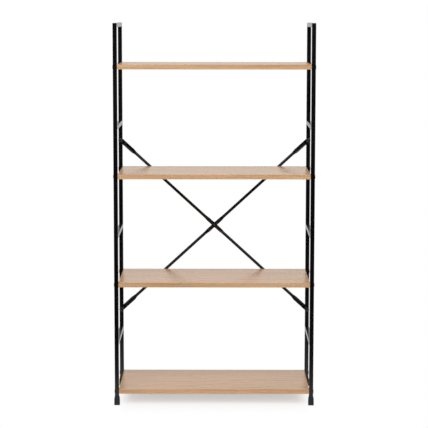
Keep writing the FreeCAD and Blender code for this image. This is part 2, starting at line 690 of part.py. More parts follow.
for thing in doc.Objects:
    if {"Invalid", "Error"} & set(thing.State):
        raise RuntimeError(f"{thing.Label} did not rebuild: {thing.State}")
for part in parts:
    if part.Shape.isNull() or not part.Shape.isValid():
        raise RuntimeError(f"{part.Label} has no valid shape")

os.makedirs("parts", exist_ok=True)
for part in parts:
    part.Shape.exportStep(f"parts/{part.Label}.step")
print(f"{len(parts)} parts, {sum(len(part.Shape.Solids) for part in parts)} solids")
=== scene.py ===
"""Looks of the pipe shelving unit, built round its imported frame.

Metres, with the sizes of small parts written in millimetres. X runs across the width, the
front faces -Y and +Z is up. The origin is on the floor, in the middle of the unit's box.
"""

import math

import bmesh
import bpy
from mathutils import Matrix, Vector


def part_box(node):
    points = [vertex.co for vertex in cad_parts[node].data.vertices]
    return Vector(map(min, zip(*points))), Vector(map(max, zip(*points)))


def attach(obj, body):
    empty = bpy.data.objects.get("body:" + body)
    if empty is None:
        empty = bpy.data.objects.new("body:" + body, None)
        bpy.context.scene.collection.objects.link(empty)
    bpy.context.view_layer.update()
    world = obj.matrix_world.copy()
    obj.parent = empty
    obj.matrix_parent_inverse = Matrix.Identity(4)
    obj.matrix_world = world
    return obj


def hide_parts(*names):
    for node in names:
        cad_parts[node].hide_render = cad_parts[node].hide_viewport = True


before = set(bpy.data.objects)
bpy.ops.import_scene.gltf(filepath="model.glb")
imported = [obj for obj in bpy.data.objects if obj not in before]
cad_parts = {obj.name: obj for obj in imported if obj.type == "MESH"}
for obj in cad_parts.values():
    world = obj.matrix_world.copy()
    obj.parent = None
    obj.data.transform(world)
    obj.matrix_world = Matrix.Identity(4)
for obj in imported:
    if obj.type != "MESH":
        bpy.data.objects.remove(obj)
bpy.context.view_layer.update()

MM = 0.001
BODY = "root"

SIDES = (("left", -1), ("right", 1))
ENDS = ("front", "rear")
SHELVES = ("bottom", "lower", "upper", "top")
RUNGS = ("lower", "middle", "upper")

# ---------------------------------------------------------------- places, from the frame

front_low, front_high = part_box("right_front_upright")
rear_low, rear_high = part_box("right_rear_upright")
bolts_low, bolts_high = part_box("brace_end_bolts")
washers_low, washers_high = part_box("brace_end_washers")
nuts_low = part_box("brace_end_nuts")[0]
rivet_low, rivet_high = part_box("brace_rivet")
boot_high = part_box("right_front_foot")[1]

TUBE = rear_high.x - rear_low.x
UPRIGHT_X = (rear_low.x + rear_high.x) / 2
UPRIGHT_Y = {"front": (front_low.y + front_high.y) / 2, "rear": (rear_low.y + rear_high.y) / 2}
BRACE_FACE = rear_high.y
HEAD_REACH = bolts_high.x - UPRIGHT_X  # from a brace bolt's middle to the rim of its head
BRACE_LOW = bolts_low.z + HEAD_REACH
BRACE_HIGH = bolts_high.z - HEAD_REACH
CROSSING = (BRACE_LOW + BRACE_HIGH) / 2

# ---------------------------------------------------------------- shapes

RING = 48  # points round a rod, a bolt head, a bore or a turned form
UP, DOWN = Vector((0, 0, 1)), Vector((0, 0, -1))
TO_FRONT = Matrix.Rotation(math.pi / 2, 4, "X")
TO_REAR = Matrix.Rotation(-math.pi / 2, 4, "X")


def ease(share):
    """A share from 0 to 1, eased at both ends."""
    share = min(max(share, 0), 1)
    return share * share * (3 - 2 * share)


def shaped_bar(stations, ring, place):
    """A bar cut across at its stations, each point moved to place(station, point of the ring)."""
    shape = bmesh.new()
    last = len(stations) - 1
    bmesh.ops.create_cone(shape, cap_ends=True, segments=ring, radius1=1, radius2=1, depth=last)
    for cut in range(1, last):
        bmesh.ops.bisect_plane(shape, geom=shape.verts[:] + shape.edges[:] + shape.faces[:],
                               plane_co=(0, 0, cut - last / 2), plane_no=(0, 0, 1))
    for vert in shape.verts:
        station = stations[round(vert.co.z + last / 2)]
        turn = math.atan2(vert.co.y, vert.co.x) / math.tau
        vert.co = place(station, round(turn * ring) % ring)
    bmesh.ops.recalc_face_normals(shape, faces=shape.faces)
    return shape


def turned(outline, closed):
    """A form turned about Z from points of radius and height in millimetres.

    A closed outline goes round a bore. An open one starts and ends on the axis.
    """
    shape = bmesh.new()
    verts = [shape.verts.new((radius * MM, 0, height * MM)) for radius, height in outline]
    pairs = list(zip(verts, verts[1:]))
    if closed:
        pairs.append((verts[-1], verts[0]))
    edges = [shape.edges.new(pair) for pair in pairs]
    bmesh.ops.spin(shape, geom=verts + edges, cent=(0, 0, 0), axis=(0, 0, 1),
                   angle=math.tau, steps=RING, use_merge=True)
    bmesh.ops.remove_doubles(shape, verts=shape.verts, dist=1e-7)
    bmesh.ops.recalc_face_normals(shape, faces=shape.faces)
    return shape


def facing(shape, direction):
    """The faces that look along a direction."""
    return [face for face in shape.faces if face.normal.dot(direction) > 0.99]


def face_towards(shape, direction):
    """The largest face that looks along a direction."""
    return max(facing(shape, direction), key=lambda face: face.calc_area())


def grow(shape, face, move, scale=1):
    """Extrude a face by a move, scale it about its middle and return it."""
    made = bmesh.ops.extrude_discrete_faces(shape, faces=[face])["faces"][0]
    middle = made.calc_center_median()
    bmesh.ops.scale(shape, vec=(scale,) * 3, space=Matrix.Translation(-middle), verts=made.verts)
    bmesh.ops.translate(shape, vec=move, verts=made.verts)
    return made


def bevel(shape, edges, size, segments):
    """Round or chamfer some edges of a shape."""
    bmesh.ops.bevel(shape, geom=list(edges), offset=size, offset_type="OFFSET", affect="EDGES",
                    segments=segments, profile=0.5, material=-1)


def mesh_of(name, shape):
    """Turn a shape into a mesh."""
    mesh = bpy.data.meshes.new(name)
    shape.to_mesh(mesh)
    shape.free()
    return mesh


def repeated(shape, places):
    """Copies of a shape at several places, as one shape."""
    stamp = mesh_of("stamp", shape)
    whole = bmesh.new()
    for place in places:
        before = len(whole.verts)
        whole.from_mesh(stamp)
        whole.verts.ensure_lookup_table()
        bmesh.ops.transform(whole, matrix=place, verts=whole.verts[before:])
    bpy.data.meshes.remove(stamp)
    return whole


def joined(shapes):
    """Several shapes as one shape."""
    whole = bmesh.new()
    for shape in shapes:
        stamp = mesh_of("stamp", shape)
        whole.from_mesh(stamp)
        bpy.data.meshes.remove(stamp)
    return whole


def new_object(name, data):
    """Put a mesh, lamp or camera in the scene."""
    made = bpy.data.objects.new(name, data)
    bpy.context.scene.collection.objects.link(made)
    return made


def piece(name, shape, material, slot, *nodes, crease=35):
    """Turn a shape into a piece of the unit, in place of any nodes of the frame that are named.

    Edges sharper than the crease, in degrees, stay sharp to the eye.
    """
    for face in shape.faces:
        face.smooth = True
    for edge in shape.edges:
        edge.smooth = edge.calc_face_angle(math.pi) < math.radians(crease)
    mesh = mesh_of(name, shape)
    mesh.materials.append(material)
    made = new_object(name, mesh)
    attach(made, BODY)
    if nodes:
        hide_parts(*nodes)
    return made


# ---------------------------------------------------------------- materials

# places of a colour mix's sockets: its factor and two colours, and the colour that comes out
MIX_FACTOR, MIX_A, MIX_B, MIX_COLOUR = 0, 6, 7, 2


def linear(hex_colour):
    """An sRGB hex colour as linear light."""
    channels = [int(hex_colour[place:place + 2], 16) / 255 for place in (1, 3, 5)]
    light = [part / 12.92 if part <= 0.04045 else ((part + 0.055) / 1.055) ** 2.4
             for part in channels]
    return light + [1.0]


def add(tree, kind, inputs=None, **settings):
    """Add a node with its settings, and on each input a value or another node's socket."""
    made = tree.nodes.new(kind)
    for name, setting in settings.items():
        setattr(made, name, setting)
    for socket, source in (inputs or {}).items():
        if isinstance(source, bpy.types.NodeSocket):
            tree.links.new(source, made.inputs[socket])
        else:
            made.inputs[socket].default_value = source
    return made


def new_material(name):
    """An empty node material and its tree."""
    material = bpy.data.materials.new(name)
    material.use_nodes = True
    material.node_tree.nodes.clear()
    return material, material.node_tree


def cells(tree, size_mm, detail=2, bend_mm=(0, 0, 0), bend_size_mm=100):
    """Noise whose cells measure size_mm along X, Y and Z, bent sideways by a slower noise."""
    point = add(tree, "ShaderNodeTexCoord").outputs["Object"]
    if any(bend_mm):
        slow = add(tree, "ShaderNodeTexNoise",
                   {"Vector": point, "Scale": 1 / (bend_size_mm * MM), "Detail": 1})
        point = add(tree, "ShaderNodeVectorMath",
                    {0: slow.outputs["Color"], 1: [size * MM for size in bend_mm], 2: point},
                    operation="MULTIPLY_ADD").outputs[0]
    scaled = add(tree, "ShaderNodeMapping",
                 {"Vector": point, "Scale": [1 / (size * MM) for size in size_mm]})
    noise = add(tree, "ShaderNodeTexNoise",
                {"Vector": scaled.outputs[0], "Scale": 1, "Detail": detail})
    return noise.outputs[0]


def black_powder_coat():
    """Polyester powder sprayed on the welded frame and baked.

    It gives a deep satin black with fine orange peel, a little uneven in its gloss where
    the coat lies thicker, and it mirrors pale surroundings only at a flat angle.
    """
    material, tree = new_material("satin_black_powder_coat_sprayed_and_baked")
    layer = cells(tree, (45, 45, 160), detail=3)
    peel = cells(tree, (1.6, 1.6, 1.6), detail=1)
    grit = cells(tree, (0.35, 0.35, 0.35), detail=1)
    tone = add(tree, "ShaderNodeMix",
               {MIX_FACTOR: layer, MIX_A: linear("#020203"), MIX_B: linear("#070708")},
               data_type="RGBA")
    gloss = add(tree, "ShaderNodeMapRange",
                {"Value": layer, "From Min": 0.3, "From Max": 0.7, "To Min": 0.22, "To Max": 0.3})
    waves = add(tree, "ShaderNodeBump", {"Strength": 0.15, "Distance": 0.02 * MM, "Height": peel})
    grain = add(tree, "ShaderNodeBump", {"Strength": 0.1, "Distance": 0.006 * MM, "Height": grit,
                                         "Normal": waves.outputs[0]})
    shader = add(tree, "ShaderNodeBsdfPrincipled",
                 {"Base Color": tone.outputs[MIX_COLOUR], "Roughness": gloss.outputs[0],
                  "IOR": 1.5, "Normal": grain.outputs[0]})
    add(tree, "ShaderNodeOutputMaterial", {"Surface": shader.outputs[0]})
    return material


def black_polyethylene():
    """Low-density polyethylene, moulded as a soft boot.

    It is greyer and duller than the coat above it, with the fine spark-eroded grain of its
    mould, and its lowest few millimetres are scuffed paler by the floor.
    """
    scuff_height = 7 * MM
    material, tree = new_material("black_polyethylene_moulded_matt")
    grain = cells(tree, (0.5, 0.5, 0.5), detail=2)
    flow = cells(tree, (9, 9, 18), detail=2)
    scratches = cells(tree, (2.5, 2.5, 0.7), detail=3)
    height = add(tree, "ShaderNodeSeparateXYZ",
                 {0: add(tree, "ShaderNodeTexCoord").outputs["Object"]})
    low = add(tree, "ShaderNodeMapRange",
              {"Value": height.outputs["Z"], "From Min": 0, "From Max": scuff_height,
               "To Min": 0.55, "To Max": 0})
    scuff = add(tree, "ShaderNodeMath", {0: low.outputs[0], 1: scratches}, operation="MULTIPLY")
    tone = add(tree, "ShaderNodeMix",
               {MIX_FACTOR: flow, MIX_A: linear("#080809"), MIX_B: linear("#0e0e0f")},
               data_type="RGBA")
    worn = add(tree, "ShaderNodeMix",
               {MIX_FACTOR: scuff.outputs[0], MIX_A: tone.outputs[MIX_COLOUR],
                MIX_B: linear("#303030")}, data_type="RGBA")
    dull = add(tree, "ShaderNodeMapRange",
               {"Value": flow, "From Min": 0.3, "From Max": 0.7, "To Min": 0.56, "To Max": 0.68})
    bump = add(tree, "ShaderNodeBump", {"Strength": 0.35, "Distance": 0.04 * MM, "Height": grain})
    shader = add(tree, "ShaderNodeBsdfPrincipled",
                 {"Base Color": worn.outputs[MIX_COLOUR], "Roughness": dull.outputs[0],
                  "IOR": 1.48, "Normal": bump.outputs[0]})
    add(tree, "ShaderNodeOutputMaterial", {"Surface": shader.outputs[0]})
    return material


def printed_oak(name, grain_axis, pale, middle, dark, pore, roughness):
    """Oak-printed decor paper under a clear resin, with its grain along one axis.

    It gives straight pale bands with finer darker streaks, short dark pores pressed into
    the surface, and an even, dry sheen that wood with an oil finish doesn't have.
    """
    def along(length, width):
        return (length, width, width) if grain_axis == "X" else (width, length, width)

    sideways = along(0, 14)
    material, tree = new_material(name)
    bands = cells(tree, along(520, 42), 2, bend_mm=sideways, bend_size_mm=420)
    rings = cells(tree, along(420, 7), 3, bend_mm=sideways, bend_size_mm=300)
    fibres = cells(tree, along(60, 1.1), 2)
    pores = cells(tree, along(14, 0.6), 1)
    board = add(tree, "ShaderNodeMix",
                {MIX_FACTOR: bands, MIX_A: linear(pale), MIX_B: linear(middle)},
                data_type="RGBA")
    streak = add(tree, "ShaderNodeMapRange",
                 {"Value": rings, "From Min": 0.42, "From Max": 0.72, "To Min": 0, "To Max": 0.6},
                 interpolation_type="SMOOTHSTEP")
    ringed = add(tree, "ShaderNodeMix",
                 {MIX_FACTOR: streak.outputs[0], MIX_A: board.outputs[MIX_COLOUR],
                  MIX_B: linear(dark)}, data_type="RGBA")
    fibre = add(tree, "ShaderNodeMapRange",
                {"Value": fibres, "From Min": 0.35, "From Max": 0.75, "To Min": 0, "To Max": 0.35})
    fibred = add(tree, "ShaderNodeMix",
                 {MIX_FACTOR: fibre.outputs[0], MIX_A: ringed.outputs[MIX_COLOUR],
                  MIX_B: linear(dark)}, data_type="RGBA")
    dash = add(tree, "ShaderNodeMapRange",
               {"Value": pores, "From Min": 0.64, "From Max": 0.72, "To Min": 0, "To Max": 0.6},
               interpolation_type="SMOOTHSTEP")
    pored = add(tree, "ShaderNodeMix",
                {MIX_FACTOR: dash.outputs[0], MIX_A: fibred.outputs[MIX_COLOUR],
                 MIX_B: linear(pore)}, data_type="RGBA")
    sheen = add(tree, "ShaderNodeMapRange",
                {"Value": fibres, "From Min": 0.3, "From Max": 0.7,
                 "To Min": roughness - 0.04, "To Max": roughness + 0.06})
    ridges = add(tree, "ShaderNodeBump", {"Strength": 0.25, "Distance": 0.03 * MM,
                                          "Height": fibres})
    pressed = add(tree, "ShaderNodeBump", {"Strength": 0.5, "Distance": 0.06 * MM,
                                           "Height": dash.outputs[0],
                                           "Normal": ridges.outputs[0]}, invert=True)
    shader = add(tree, "ShaderNodeBsdfPrincipled",
                 {"Base Color": pored.outputs[MIX_COLOUR], "Roughness": sheen.outputs[0],
                  "IOR": 1.5, "Normal": pressed.outputs[0]})
    add(tree, "ShaderNodeOutputMaterial", {"Surface": shader.outputs[0]})
    return material


def plated_steel(name, pale, dark, roughness):
    """Steel plated with zinc: a metal skin, cloudy from its bath and faintly pitted."""
    material, tree = new_material(name)
    clouds = cells(tree, (4, 4, 4), detail=3)
    pits = cells(tree, (0.4, 0.4, 0.4), detail=1)
    tone = add(tree, "ShaderNodeMix",
               {MIX_FACTOR: clouds, MIX_A: linear(dark), MIX_B: linear(pale)}, data_type="RGBA")
    gloss = add(tree, "ShaderNodeMapRange",
                {"Value": clouds, "From Min": 0.3, "From Max": 0.7,
                 "To Min": roughness - 0.05, "To Max": roughness + 0.07})
    bump = add(tree, "ShaderNodeBump", {"Strength": 0.2, "Distance": 0.02 * MM, "Height": pits})
    shader = add(tree, "ShaderNodeBsdfPrincipled",
                 {"Base Color": tone.outputs[MIX_COLOUR], "Metallic": 1.0,
                  "Roughness": gloss.outputs[0], "Normal": bump.outputs[0]})
    add(tree, "ShaderNodeOutputMaterial", {"Surface": shader.outputs[0]})
    return material


BOARD_PRINT = ("#e6c3a0", "#d3ad88", "#b0885f", "#8a6a50")  # pale, middle, dark, pore
BAND_PRINT = ("#d0a981", "#bc9065", "#a0764c", "#7a5a3a")

coat = black_powder_coat()
boot_plastic = black_polyethylene()
oak_board = printed_oak("oak_melamine_board_pressed", "X", *BOARD_PRINT, roughness=0.27)
oak_band_long = printed_oak("oak_edge_band_along_the_width", "X", *BAND_PRINT, roughness=0.34)
oak_band_end = printed_oak("oak_edge_band_along_the_depth", "Y", *BAND_PRINT, roughness=0.34)
# black passivation dulls the zinc to a dark grey metal that still gleams
black_zinc = plated_steel("black_zinc_plated_steel_passivated", pale="#6c6c70",
                          dark="#48484b", roughness=0.4)
# bright zinc is pale, with greyer clouds
bright_zinc = plated_steel("bright_zinc_plated_steel", pale="#c9c8c2",
                           dark="#a5a49f", roughness=0.38)


def finish_node(name, material):
    """Give a node of the frame its material."""
    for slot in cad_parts[name].material_slots:
        slot.material = material


for side_name, _ in SIDES:
    for end_name in ENDS:
        finish_node(f"{side_name}_{end_name}_upright", coat)
    finish_node(f"{side_name}_top_bar", coat)
    for rung_name in RUNGS:
        finish_node(f"{side_name}_{rung_name}_rung", coat)
for shelf in SHELVES:
    finish_node(f"{shelf}_shelf_board", oak_board)
    finish_node(f"{shelf}_shelf_inserts", bright_zinc)
    for end_name in ENDS:
        finish_node(f"{shelf}_shelf_{end_name}_band", oak_band_long)
    for side_name, _ in SIDES:
        finish_node(f"{shelf}_shelf_{side_name}_band", oak_band_end)

# ---------------------------------------------------------------- brace rods, millimetres

ROD_DIAMETER = 12
PADDLE_WIDTH, PADDLE_THICKNESS, PADDLE_DISH = 17.6, 2.2, 2  # an end, pressed flat and hollowed
PADDLE_TIP, PADDLE_FLAT, PADDLE_LENGTH = 8.8, 20, 64  # bolt to tip, hollow and rounding off
CROSSING_WIDTH, CROSSING_THICKNESS, CROSSING_DISH = 15.2, 5.2, 1.8
CROSSING_SEAT, CROSSING_HALF = 8, 31  # rivet to hollow and rounding off
DISH_RUN, TAPER = 5, 20  # how far a hollow takes to deepen, and the rod to round off
TIP_TURNS = (88, 75, 60, 45, 31.5, 20)  # degrees round the tip at which it is cut across
BOLT_BORE, RIVET_BORE, DRILL_LENGTH = 6.3, 5.3, 50
BOW = RING // 4  # points on each of the four bows of a section
FINE_STEPS = 10


def round_section(index):
    """Distance across and depth of a point of the round tube."""
    angle = math.radians(90 * index / BOW - 45)
    radius = ROD_DIAMETER / 2
    return Vector((radius * math.sin(angle), radius - radius * math.cos(angle)))


def pressed_section(index, width, thickness, front, dish_front, dish_back):
    """Distance across and depth of a point where the tube is pressed flat and hollowed."""
    bow, share = divmod(index / BOW, 1)
    edge = thickness / 2
    corner = width / 2 - edge
    across = corner * (2 * share - 1)
    hollow = 1 - (2 * share - 1) ** 2
    turn = math.pi * share
    if bow == 0:
        return Vector((across, front + dish_front * hollow))
    if bow == 1:
        return Vector((corner + edge * math.sin(turn), front + edge - edge * math.cos(turn)))
    if bow == 2:
        return Vector((-across, front + thickness + dish_back * hollow))
    return Vector((-corner - edge * math.sin(turn), front + edge + edge * math.cos(turn)))


def rod_shape(length, crossing_front):
    """A pressed tube along X between two bolt centres, in millimetres."""
    middle = length / 2
    pressed, seat = middle - CROSSING_HALF, middle - CROSSING_SEAT
    # width, thickness, depth, and how far the middles of front and back are pressed rearwards
    end_flat = (PADDLE_WIDTH, PADDLE_THICKNESS, 0, 0, 0)
    end_dished = (PADDLE_WIDTH, PADDLE_THICKNESS, 0, PADDLE_DISH, PADDLE_DISH)
    middle_dished = (CROSSING_WIDTH, CROSSING_THICKNESS, crossing_front, CROSSING_DISH, 0)
    middle_flat = (CROSSING_WIDTH, CROSSING_THICKNESS, crossing_front, 0, 0)
    keys = ((0, end_flat), (PADDLE_FLAT, end_flat), (PADDLE_FLAT + DISH_RUN, end_dished),
            (PADDLE_LENGTH, end_dished), (PADDLE_LENGTH + TAPER, None),
            (pressed - TAPER, None), (pressed, middle_dished), (seat - DISH_RUN, middle_dished),
            (seat, middle_flat))

    def section(kind, index):
        return pressed_section(index, *kind) if kind else round_section(index)

    def place(station, index):
        # both halves are alike, and past the first and last keys the section stays as it is
        inward = min(station, length - station)
        before = after = keys[0] if inward < 0 else keys[-1]
        for first, second in zip(keys, keys[1:]):
            if first[0] <= inward <= second[0]:
                before, after = first, second
        run = after[0] - before[0]
        share = ease((inward - before[0]) / run) if run else 0
        across, depth = section(before[1], index).lerp(section(after[1], index), share)
        if inward < 0:
            room = math.sqrt(max(PADDLE_TIP ** 2 - inward ** 2, 0))
            across *= min(1, room / (PADDLE_WIDTH / 2))
        return Vector((station, depth, across)) * MM

    half = [-PADDLE_TIP * math.sin(math.radians(turn)) for turn in TIP_TURNS]
    for first, second in zip(keys, keys[1:]):
        steps = 1 if first[1] == second[1] else FINE_STEPS
        half += [first[0] + (second[0] - first[0]) * step / steps for step in range(steps)]
    half.append(seat)
    stations = half + [length - station for station in reversed(half)]
    return shaped_bar(stations, RING, place)


def bored(made, holes):
    """Drill a finished piece from front to rear, at pairs of a place and a diameter."""
    for middle, diameter in holes:
        drill = bmesh.new()
        bmesh.ops.create_cone(drill, cap_ends=True, segments=RING, radius1=diameter * MM / 2,
                              radius2=diameter * MM / 2, depth=DRILL_LENGTH * MM,
                              matrix=Matrix.Translation(middle) @ TO_FRONT)
        cutter = new_object("drill", mesh_of("drill", drill))
        cut = made.modifiers.new("bore", "BOOLEAN")
        cut.operation = "DIFFERENCE"
        cut.object = cutter
        bpy.context.view_layer.update()
        seen = made.evaluated_get(bpy.context.evaluated_depsgraph_get())
        kept = bpy.data.meshes.new_from_object(seen)
        made.modifiers.clear()
        made.data = kept
        bpy.data.objects.remove(cutter)


def brace_rod(name, start_z, end_z, crossing_front):
    """One rod, from the left rear upright to the right one."""
    run, rise = 2 * UPRIGHT_X, end_z - start_z
    shape = rod_shape(math.hypot(run, rise) / MM, crossing_front)
    start = Vector((-UPRIGHT_X, BRACE_FACE, start_z))
    end = Vector((UPRIGHT_X, BRACE_FACE, end_z))
    tilt = Matrix.Rotation(-math.atan2(rise, run), 4, "Y")
    bmesh.ops.transform(shape, matrix=Matrix.Translation(start) @ tilt, verts=shape.verts)
    made = piece(f"{name}_shaped", shape, coat, "black_powder_coat", name)
    bored(made, ((start, BOLT_BORE), (end, BOLT_BORE), ((start + end) / 2, RIVET_BORE)))


brace_rod("rising_brace_rod", BRACE_LOW, BRACE_HIGH, 0)
brace_rod("falling_brace_rod", BRACE_HIGH, BRACE_LOW, CROSSING_THICKNESS)

# ---------------------------------------------------------------- fasteners, millimetres

SHANK, SHANK_CHAMFER = 6, 0.6
SHELF_HEAD, SHELF_HEAD_HEIGHT = 15, 1.3
BRACE_HEAD, BRACE_HEAD_HEIGHT = 17.5, 1.5
HEAD_ROUND, HEAD_ROUND_STEPS = 0.55, 4
SOCKET_FLATS, SOCKET_DEPTH, SOCKET_CHAMFER = 4, 2.6, 0.15
SOCKET_BLANK = 6.5  # the circle that is drawn in to the socket's hexagon
WASHER, WASHER_BORE, WASHER_EDGE = 12.4, 6.4, 0.2
NUT_FLATS, NUT_HEIGHT, NUT_CHAMFER = 10, 4.6, 0.45
NUT_BORE, NUT_MOUTH, NUT_MOUTH_DEPTH = 6.3, 7.2, 0.35
NUT_COLLAR, NUT_COLLAR_HEIGHT, NUT_COLLAR_ROUND, NUT_COLLAR_SHOULDER = 9, 1.2, 0.5, 0.15
RIVET, RIVET_HEAD, RIVET_HEAD_HEIGHT = 5, 8.4, 1.2


def hexagon_radius(angle, flats):
    """Distance from the middle to the side of a hexagon, along an angle."""
    sixth = math.radians(60)
    return flats / 2 / math.cos((angle + sixth / 2) % sixth - sixth / 2)


def flat_bolt(head, head_height, shank_length):
    """A bolt along Z: its head stands on z = 0 and its shank runs down."""
    shape = bmesh.new()
    bmesh.ops.create_cone(shape, cap_ends=True, segments=RING, radius1=head * MM / 2,
                          radius2=head * MM / 2, depth=head_height * MM,
                          matrix=Matrix.Translation((0, 0, head_height * MM / 2)))
    bevel(shape, face_towards(shape, UP).edges, HEAD_ROUND * MM, HEAD_ROUND_STEPS)
    top = face_towards(shape, UP)
    bmesh.ops.inset_region(shape, faces=[top], thickness=(head - SOCKET_BLANK) / 2 * MM)
    for vert in top.verts:
        angle = math.atan2(vert.co.y, vert.co.x)
        reach = hexagon_radius(angle, SOCKET_FLATS) * MM
        vert.co.x, vert.co.y = reach * math.cos(angle), reach * math.sin(angle)
    bevel(shape, top.edges, SOCKET_CHAMFER * MM, 1)
    # the chamfer leaves a new face at the mouth, the only one with RING corners that looks up
    mouth = next(face for face in facing(shape, UP) if len(face.verts) == RING)
    grow(shape, mouth, (0, 0, -SOCKET_DEPTH * MM))
    bottom = face_towards(shape, DOWN)
    bmesh.ops.inset_region(shape, faces=[bottom], thickness=(head - SHANK) / 2 * MM)
    tip = grow(shape, bottom, (0, 0, -(shank_length - SHANK_CHAMFER) * MM))
    grow(shape, tip, (0, 0, -SHANK_CHAMFER * MM), 1 - 2 * SHANK_CHAMFER / SHANK)
    return shape


def washer(height):
    """A washer that stands on z = 0, with the outer rims eased."""
    bore, rim = WASHER_BORE / 2, WASHER / 2
    return turned(((bore, 0), (rim - WASHER_EDGE, 0), (rim, WASHER_EDGE),
                   (rim, height - WASHER_EDGE), (rim - WASHER_EDGE, height),
                   (bore, height)), closed=True)


def nut_hexagon():
    """The hexagon of a lock nut, with chamfered corners, that stands on z = 0."""
    shape = bmesh.new()
    across_corners = NUT_FLATS / math.cos(math.radians(30))
    bmesh.ops.create_cone(shape, cap_ends=True, segments=6, radius1=across_corners * MM / 2,
                          radius2=across_corners * MM / 2, depth=NUT_HEIGHT * MM,
                          matrix=Matrix.Translation((0, 0, NUT_HEIGHT * MM / 2)))
    rims = [edge for way in (UP, DOWN) for edge in face_towards(shape, way).edges]
    bevel(shape, rims, NUT_CHAMFER * MM, 2)
    return shape


def nut_collar():
    """The round collar on the hexagon, which grips the bolt."""
    bore, rim = NUT_BORE / 2, NUT_COLLAR / 2
    base, top = NUT_HEIGHT, NUT_HEIGHT + NUT_COLLAR_HEIGHT
    return turned(((bore, base), (rim, base), (rim, top - NUT_COLLAR_ROUND),
                   (rim - NUT_COLLAR_SHOULDER, top - NUT_COLLAR_SHOULDER),
                   (rim - NUT_COLLAR_ROUND, top), (NUT_MOUTH / 2, top),
                   (bore, top - NUT_MOUTH_DEPTH)), closed=True)


def domed_rivet(length):
    """A rivet along Z, with a domed head at each end of its length."""
    dome = [(RIVET_HEAD / 2 * math.cos(math.radians(turn)),
             RIVET_HEAD_HEIGHT * math.sin(math.radians(turn))) for turn in range(0, 91, 15)]
    shank = [(RIVET / 2, RIVET_HEAD_HEIGHT), (RIVET / 2, length - RIVET_HEAD_HEIGHT)]
    front = [(radius, RIVET_HEAD_HEIGHT - height) for radius, height in reversed(dome)]
    rear = [(radius, length - RIVET_HEAD_HEIGHT + height) for radius, height in dome]
    return turned(front + shank + rear, closed=False)


def at_brace_ends(y, tilt):
    """The four ends of the brace, at a depth."""
    return [Matrix.Translation((side * UPRIGHT_X, y, z)) @ tilt
            for _, side in SIDES for z in (BRACE_LOW, BRACE_HIGH)]


def at_shelf_ends(side):
    """The outer faces of a side's uprights, level with the middle of each board."""
    face_x = side * (UPRIGHT_X + TUBE / 2)
    outwards = Matrix.Rotation(side * math.pi / 2, 4, "Y")
    places = []
    for shelf in SHELVES:
        low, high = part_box(f"{shelf}_shelf_board")
        for end_name in ENDS:
            spot = (face_x, UPRIGHT_Y[end_name], (low.z + high.z) / 2)
            places.append(Matrix.Translation(spot) @ outwards)
    return places


brace_shank = (bolts_high.y - rear_low.y) / MM
piece("brace_end_bolts_shaped",
      repeated(flat_bolt(BRACE_HEAD, BRACE_HEAD_HEIGHT, brace_shank),
               at_brace_ends(rear_low.y, TO_FRONT)),
      black_zinc, "black_zinc_steel", "brace_end_bolts")

washer_height = (washers_high.y - washers_low.y) / MM
piece("brace_end_washers_shaped",
      repeated(washer(washer_height), at_brace_ends(washers_low.y, TO_REAR)),
      black_zinc, "black_zinc_steel", "brace_end_washers")

piece("brace_end_nuts_shaped",
      joined(repeated(form, at_brace_ends(nuts_low.y, TO_REAR))
             for form in (nut_hexagon(), nut_collar())),
      black_zinc, "black_zinc_steel", "brace_end_nuts")

rivet_length = (rivet_high.y - rivet_low.y) / MM
rivet_place = Matrix.Translation((0, rivet_low.y, CROSSING)) @ TO_REAR
piece("brace_rivet_domed", repeated(domed_rivet(rivet_length), [rivet_place]),
      black_zinc, "black_zinc_steel", "brace_rivet")

for side_name, side in SIDES:
    low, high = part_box(f"{side_name}_shelf_bolts")
    shelf_shank = (high.x - low.x) / MM - SHELF_HEAD_HEIGHT
    piece(f"{side_name}_shelf_bolts_shaped",
          repeated(flat_bolt(SHELF_HEAD, SHELF_HEAD_HEIGHT, shelf_shank), at_shelf_ends(side)),
          black_zinc, "black_zinc_steel", f"{side_name}_shelf_bolts")

# ---------------------------------------------------------------- boots, millimetres

BOOT_CORNER_STEPS = 8
BOOT_RING = 4 * (BOOT_CORNER_STEPS + 1)
BOOT_EDGE = 0.8  # rounding where the boot meets the floor
SHOULDER_LOW, SHOULDER_HIGH = 25, 33  # heights between which it draws in to its collar
BASE_HALF, SHOULDER_HALF, COLLAR_HALF = 10.8, 10.5, 8.8  # half widths
BASE_CORNER, SHOULDER_CORNER, COLLAR_CORNER = 3.3, 3.0, 1.3  # corner radii
COLLAR_LIP, COLLAR_WALL, SOLE = 0.25, 0.6, 5


def boot_stations():
    """Height, half width and corner radius, from the floor up."""
    stations = []
    for turn in range(0, 91, 30):
        inset = BOOT_EDGE * (1 - math.sin(math.radians(turn)))
        rise = BOOT_EDGE * (1 - math.cos(math.radians(turn)))
        stations.append((rise, BASE_HALF - inset, BASE_CORNER - inset))
    for step in range(FINE_STEPS + 1):
        share = step / FINE_STEPS
        drop = ease(share)
        stations.append((SHOULDER_LOW + (SHOULDER_HIGH - SHOULDER_LOW) * share,
                         SHOULDER_HALF + (COLLAR_HALF - SHOULDER_HALF) * drop,
                         SHOULDER_CORNER + (COLLAR_CORNER - SHOULDER_CORNER) * drop))
    top = boot_high.z / MM
    stations.append((top - COLLAR_LIP, COLLAR_HALF, COLLAR_CORNER))
    stations.append((top, COLLAR_HALF - COLLAR_LIP, COLLAR_CORNER - COLLAR_LIP))
    return stations


def boot_point(station, index):
    """A point of the rounded square at a height of the boot."""
    height, half, radius = station
    quarter, step = divmod(index, BOOT_CORNER_STEPS + 1)
    angle = math.radians(90 * (quarter + step / BOOT_CORNER_STEPS))
    x_sign = 1 if quarter in (0, 3) else -1
    y_sign = 1 if quarter in (0, 1) else -1
    return Vector((x_sign * (half - radius) + radius * math.cos(angle),
                   y_sign * (half - radius) + radius * math.sin(angle), height)) * MM


